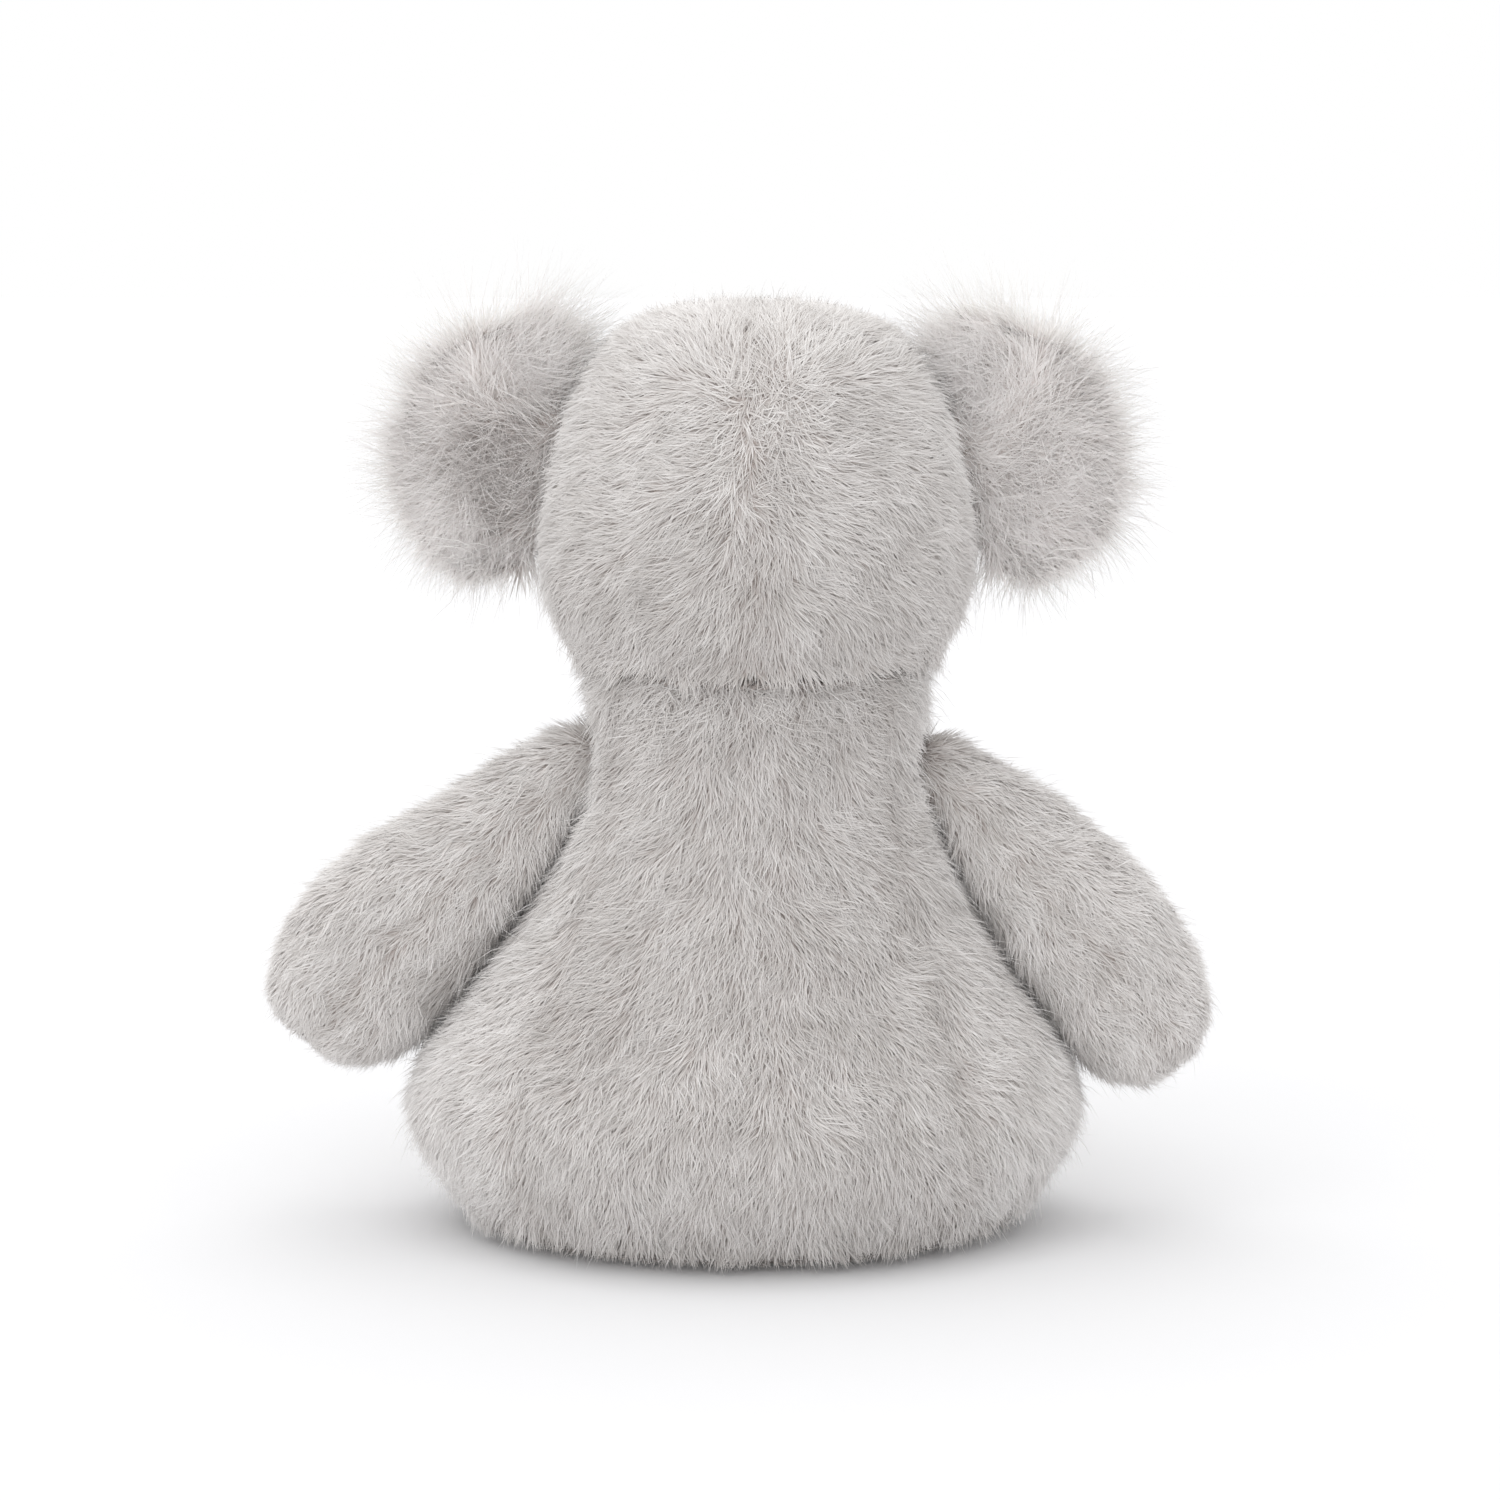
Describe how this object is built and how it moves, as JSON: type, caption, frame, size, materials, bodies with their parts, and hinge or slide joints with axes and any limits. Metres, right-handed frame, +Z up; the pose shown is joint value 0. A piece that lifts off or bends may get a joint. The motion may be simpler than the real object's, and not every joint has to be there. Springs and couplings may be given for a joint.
{
  "type": "koala soft toy",
  "caption": "Seated plush koala with a round head, large fluffy ears, hanging arms, short legs and a pellet-weighted seat that keeps it upright.",
  "frame": {"origin": "middle of the flat seat, on the surface that the toy sits on", "axes": "+Z up, -Y the way the toy faces, +X the toy's own left side"},
  "size_m": [0.1959, 0.1643, 0.1907],
  "materials": {
    "grey_plush": "matte",
    "pale_plush": "matte",
    "ear_plush": "matte",
    "ear_lining": "matte",
    "nose_velour": "matte",
    "eye_plastic": "gloss",
    "washer_plastic": "matte",
    "stuffing": "matte",
    "seam_cord": "matte",
    "pouch_cotton": "matte",
    "pellet_plastic": "matte"
  },
  "bodies": {
    "torso": {"back_panel": "grey_plush", "belly_panel": "pale_plush", "flank_left": "grey_plush", "flank_right": "grey_plush", "base_panel": "grey_plush", "torso_fill": "stuffing", "pellet_pouch": "pouch_cotton", "pellets": "pellet_plastic"},
    "neck": {"neck_seam": "seam_cord"},
    "head": {"face_panel": "grey_plush", "head_back_left": "grey_plush", "head_back_right": "grey_plush", "head_fill": "stuffing", "nose_cover": "nose_velour", "nose_padding": "stuffing", "eye_left": "eye_plastic", "eye_right": "eye_plastic", "eye_washer_left": "washer_plastic", "eye_washer_right": "washer_plastic"},
    "ear_left": {"ear_left_back": "ear_plush", "ear_left_front": "ear_lining"},
    "ear_right": {"ear_right_back": "ear_plush", "ear_right_front": "ear_lining"},
    "arm_left": {"arm_left_outer": "grey_plush", "arm_left_inner": "grey_plush", "arm_left_fill": "stuffing"},
    "arm_right": {"arm_right_outer": "grey_plush", "arm_right_inner": "grey_plush", "arm_right_fill": "stuffing"},
    "leg_left": {"leg_left_skin": "grey_plush", "leg_left_sole": "pale_plush", "leg_left_fill": "stuffing"},
    "leg_right": {"leg_right_skin": "grey_plush", "leg_right_sole": "pale_plush", "leg_right_fill": "stuffing"}
  },
  "joints": [
    {"name": "head_nod", "type": "hinge", "parent": "torso", "child": "neck", "pos_m": [-0.0026, 0, 0.0955], "axis": [1, 0, 0], "range_deg": [-12, 12], "stiffness_Nm_per_rad": 0.15},
    {"name": "head_turn", "type": "hinge", "parent": "neck", "child": "head", "pos_m": [-0.0026, 0, 0.0955], "axis": [0, 0, 1], "range_deg": [-40, 40], "stiffness_Nm_per_rad": 0.05},
    {"name": "ear_left_fold", "type": "hinge", "parent": "head", "child": "ear_left", "pos_m": [0.04021, -0.004, 0.1565], "axis": [0.2079, 0, -0.9781], "range_deg": [-18, 18], "stiffness_Nm_per_rad": 0.008},
    {"name": "ear_right_fold", "type": "hinge", "parent": "head", "child": "ear_right", "pos_m": [-0.04541, -0.004, 0.1565], "axis": [0.2079, 0, 0.9781], "range_deg": [-18, 18], "stiffness_Nm_per_rad": 0.008},
    {"name": "arm_left_lift", "type": "hinge", "parent": "torso", "child": "arm_left", "pos_m": [0.03274, 0, 0.095], "axis": [0, -1, 0], "range_deg": [0, 40]},
    {"name": "arm_right_lift", "type": "hinge", "parent": "torso", "child": "arm_right", "pos_m": [-0.03777, 0, 0.095], "axis": [0, 1, 0], "range_deg": [0, 40]},
    {"name": "leg_left_lift", "type": "hinge", "parent": "torso", "child": "leg_left", "pos_m": [0.033, -0.05323, 0.02], "axis": [-0.9744, -0.225, 0], "range_deg": [0, 20]},
    {"name": "leg_right_lift", "type": "hinge", "parent": "torso", "child": "leg_right", "pos_m": [-0.033, -0.05323, 0.02], "axis": [-0.9744, 0.225, 0], "range_deg": [0, 20]}
  ]
}
